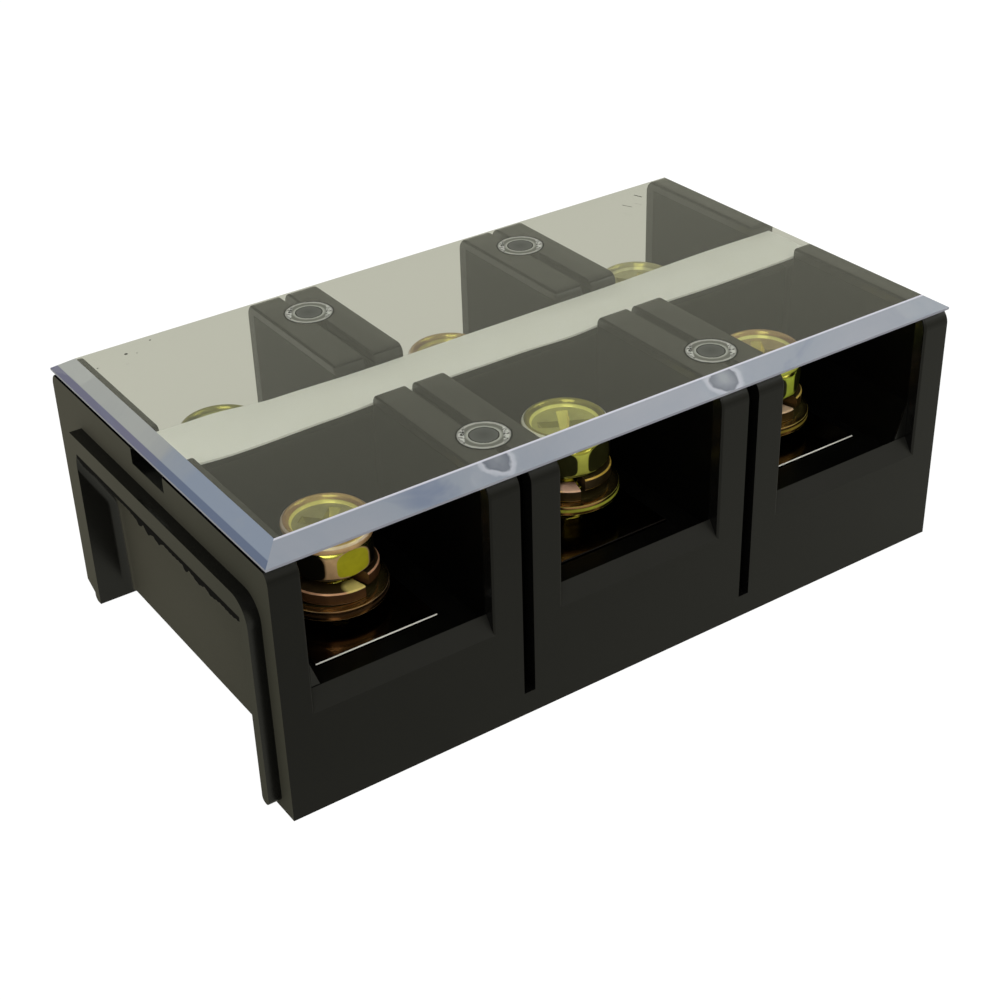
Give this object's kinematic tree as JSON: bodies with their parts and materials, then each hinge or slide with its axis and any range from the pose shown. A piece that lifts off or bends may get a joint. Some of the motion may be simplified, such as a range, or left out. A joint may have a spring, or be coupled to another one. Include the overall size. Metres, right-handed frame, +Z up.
{
  "type": "barrier terminal block",
  "caption": "Black barrier terminal strip with clear lift-off cover, washered screws on plated bars, open wire pockets on both long sides and a white marker strip.",
  "frame": {"origin": "middle of the housing outline between the mounting holes, at the level of its feet", "axes": "+X along the row of poles, -Y towards the front wire pockets, +Z up through the cover"},
  "size_m": [0.1271, 0.071, 0.045],
  "materials": {
    "black_moulding": "satin moulded",
    "clear_plastic": "clear polished",
    "white_strip": "plain",
    "plated_bar": "bright tin plating",
    "yellow_zinc": "yellow passivated zinc"
  },
  "bodies": {
    "housing": {"housing": "black_moulding", "marker_strip": "white_strip", "bar_left": "plated_bar", "bar_middle": "plated_bar", "bar_right": "plated_bar"},
    "cover": {"cover": "clear_plastic"},
    "washers_front_left": {"flat_washer_front_left": "yellow_zinc", "spring_washer_front_left": "yellow_zinc"},
    "screw_front_left": {"screw_front_left": "yellow_zinc"},
    "washers_rear_left": {"flat_washer_rear_left": "yellow_zinc", "spring_washer_rear_left": "yellow_zinc"},
    "screw_rear_left": {"screw_rear_left": "yellow_zinc"},
    "washers_front_middle": {"flat_washer_front_middle": "yellow_zinc", "spring_washer_front_middle": "yellow_zinc"},
    "screw_front_middle": {"screw_front_middle": "yellow_zinc"},
    "washers_rear_middle": {"flat_washer_rear_middle": "yellow_zinc", "spring_washer_rear_middle": "yellow_zinc"},
    "screw_rear_middle": {"screw_rear_middle": "yellow_zinc"},
    "washers_front_right": {"flat_washer_front_right": "yellow_zinc", "spring_washer_front_right": "yellow_zinc"},
    "screw_front_right": {"screw_front_right": "yellow_zinc"},
    "washers_rear_right": {"flat_washer_rear_right": "yellow_zinc", "spring_washer_rear_right": "yellow_zinc"},
    "screw_rear_right": {"screw_rear_right": "yellow_zinc"}
  },
  "joints": [
    {"name": "cover_lift", "type": "slide", "parent": "housing", "child": "cover", "axis": [0, 0, 1], "range_m": [0, 0.03]},
    {"name": "rise_front_left", "type": "slide", "parent": "housing", "child": "washers_front_left", "axis": [0, 0, 1], "range_m": [-0.0019, 0.0031]},
    {"name": "turn_front_left", "type": "hinge", "parent": "washers_front_left", "child": "screw_front_left", "pos_m": [-0.04247, -0.01515, 0.03], "axis": [0, 0, 1], "range_deg": [-547.1, 892.7]},
    {"name": "rise_rear_left", "type": "slide", "parent": "housing", "child": "washers_rear_left", "axis": [0, 0, 1], "range_m": [-0.0024, 0.0026]},
    {"name": "turn_rear_left", "type": "hinge", "parent": "washers_rear_left", "child": "screw_rear_left", "pos_m": [-0.04247, 0.01775, 0.03], "axis": [0, 0, 1], "range_deg": [-691.1, 748.7]},
    {"name": "rise_front_middle", "type": "slide", "parent": "housing", "child": "washers_front_middle", "axis": [0, 0, 1], "range_m": [-0.0035, 0.0015]},
    {"name": "turn_front_middle", "type": "hinge", "parent": "washers_front_middle", "child": "screw_front_middle", "pos_m": [0.0006, -0.01525, 0.03], "axis": [0, 0, 1], "range_deg": [-1007.9, 431.9]},
    {"name": "rise_rear_middle", "type": "slide", "parent": "housing", "child": "washers_rear_middle", "axis": [0, 0, 1], "range_m": [-0.0019, 0.0031]},
    {"name": "turn_rear_middle", "type": "hinge", "parent": "washers_rear_middle", "child": "screw_rear_middle", "pos_m": [0.0006, 0.01765, 0.03], "axis": [0, 0, 1], "range_deg": [-547.1, 892.7]},
    {"name": "rise_front_right", "type": "slide", "parent": "housing", "child": "washers_front_right", "axis": [0, 0, 1], "range_m": [-0.0021, 0.0029]},
    {"name": "turn_front_right", "type": "hinge", "parent": "washers_front_right", "child": "screw_front_right", "pos_m": [0.04227, -0.01395, 0.03], "axis": [0, 0, 1], "range_deg": [-604.7, 835.1]},
    {"name": "rise_rear_right", "type": "slide", "parent": "housing", "child": "washers_rear_right", "axis": [0, 0, 1], "range_m": [-0.0029, 0.0021]},
    {"name": "turn_rear_right", "type": "hinge", "parent": "washers_rear_right", "child": "screw_rear_right", "pos_m": [0.04227, 0.01895, 0.03], "axis": [0, 0, 1], "range_deg": [-835.1, 604.7]}
  ],
  "couplings": [
    {"joint": "rise_front_left", "follows": "turn_front_left", "m_per_rad": 0.00019894},
    {"joint": "rise_rear_left", "follows": "turn_rear_left", "m_per_rad": 0.00019894},
    {"joint": "rise_front_middle", "follows": "turn_front_middle", "m_per_rad": 0.00019894},
    {"joint": "rise_rear_middle", "follows": "turn_rear_middle", "m_per_rad": 0.00019894},
    {"joint": "rise_front_right", "follows": "turn_front_right", "m_per_rad": 0.00019894},
    {"joint": "rise_rear_right", "follows": "turn_rear_right", "m_per_rad": 0.00019894}
  ]
}
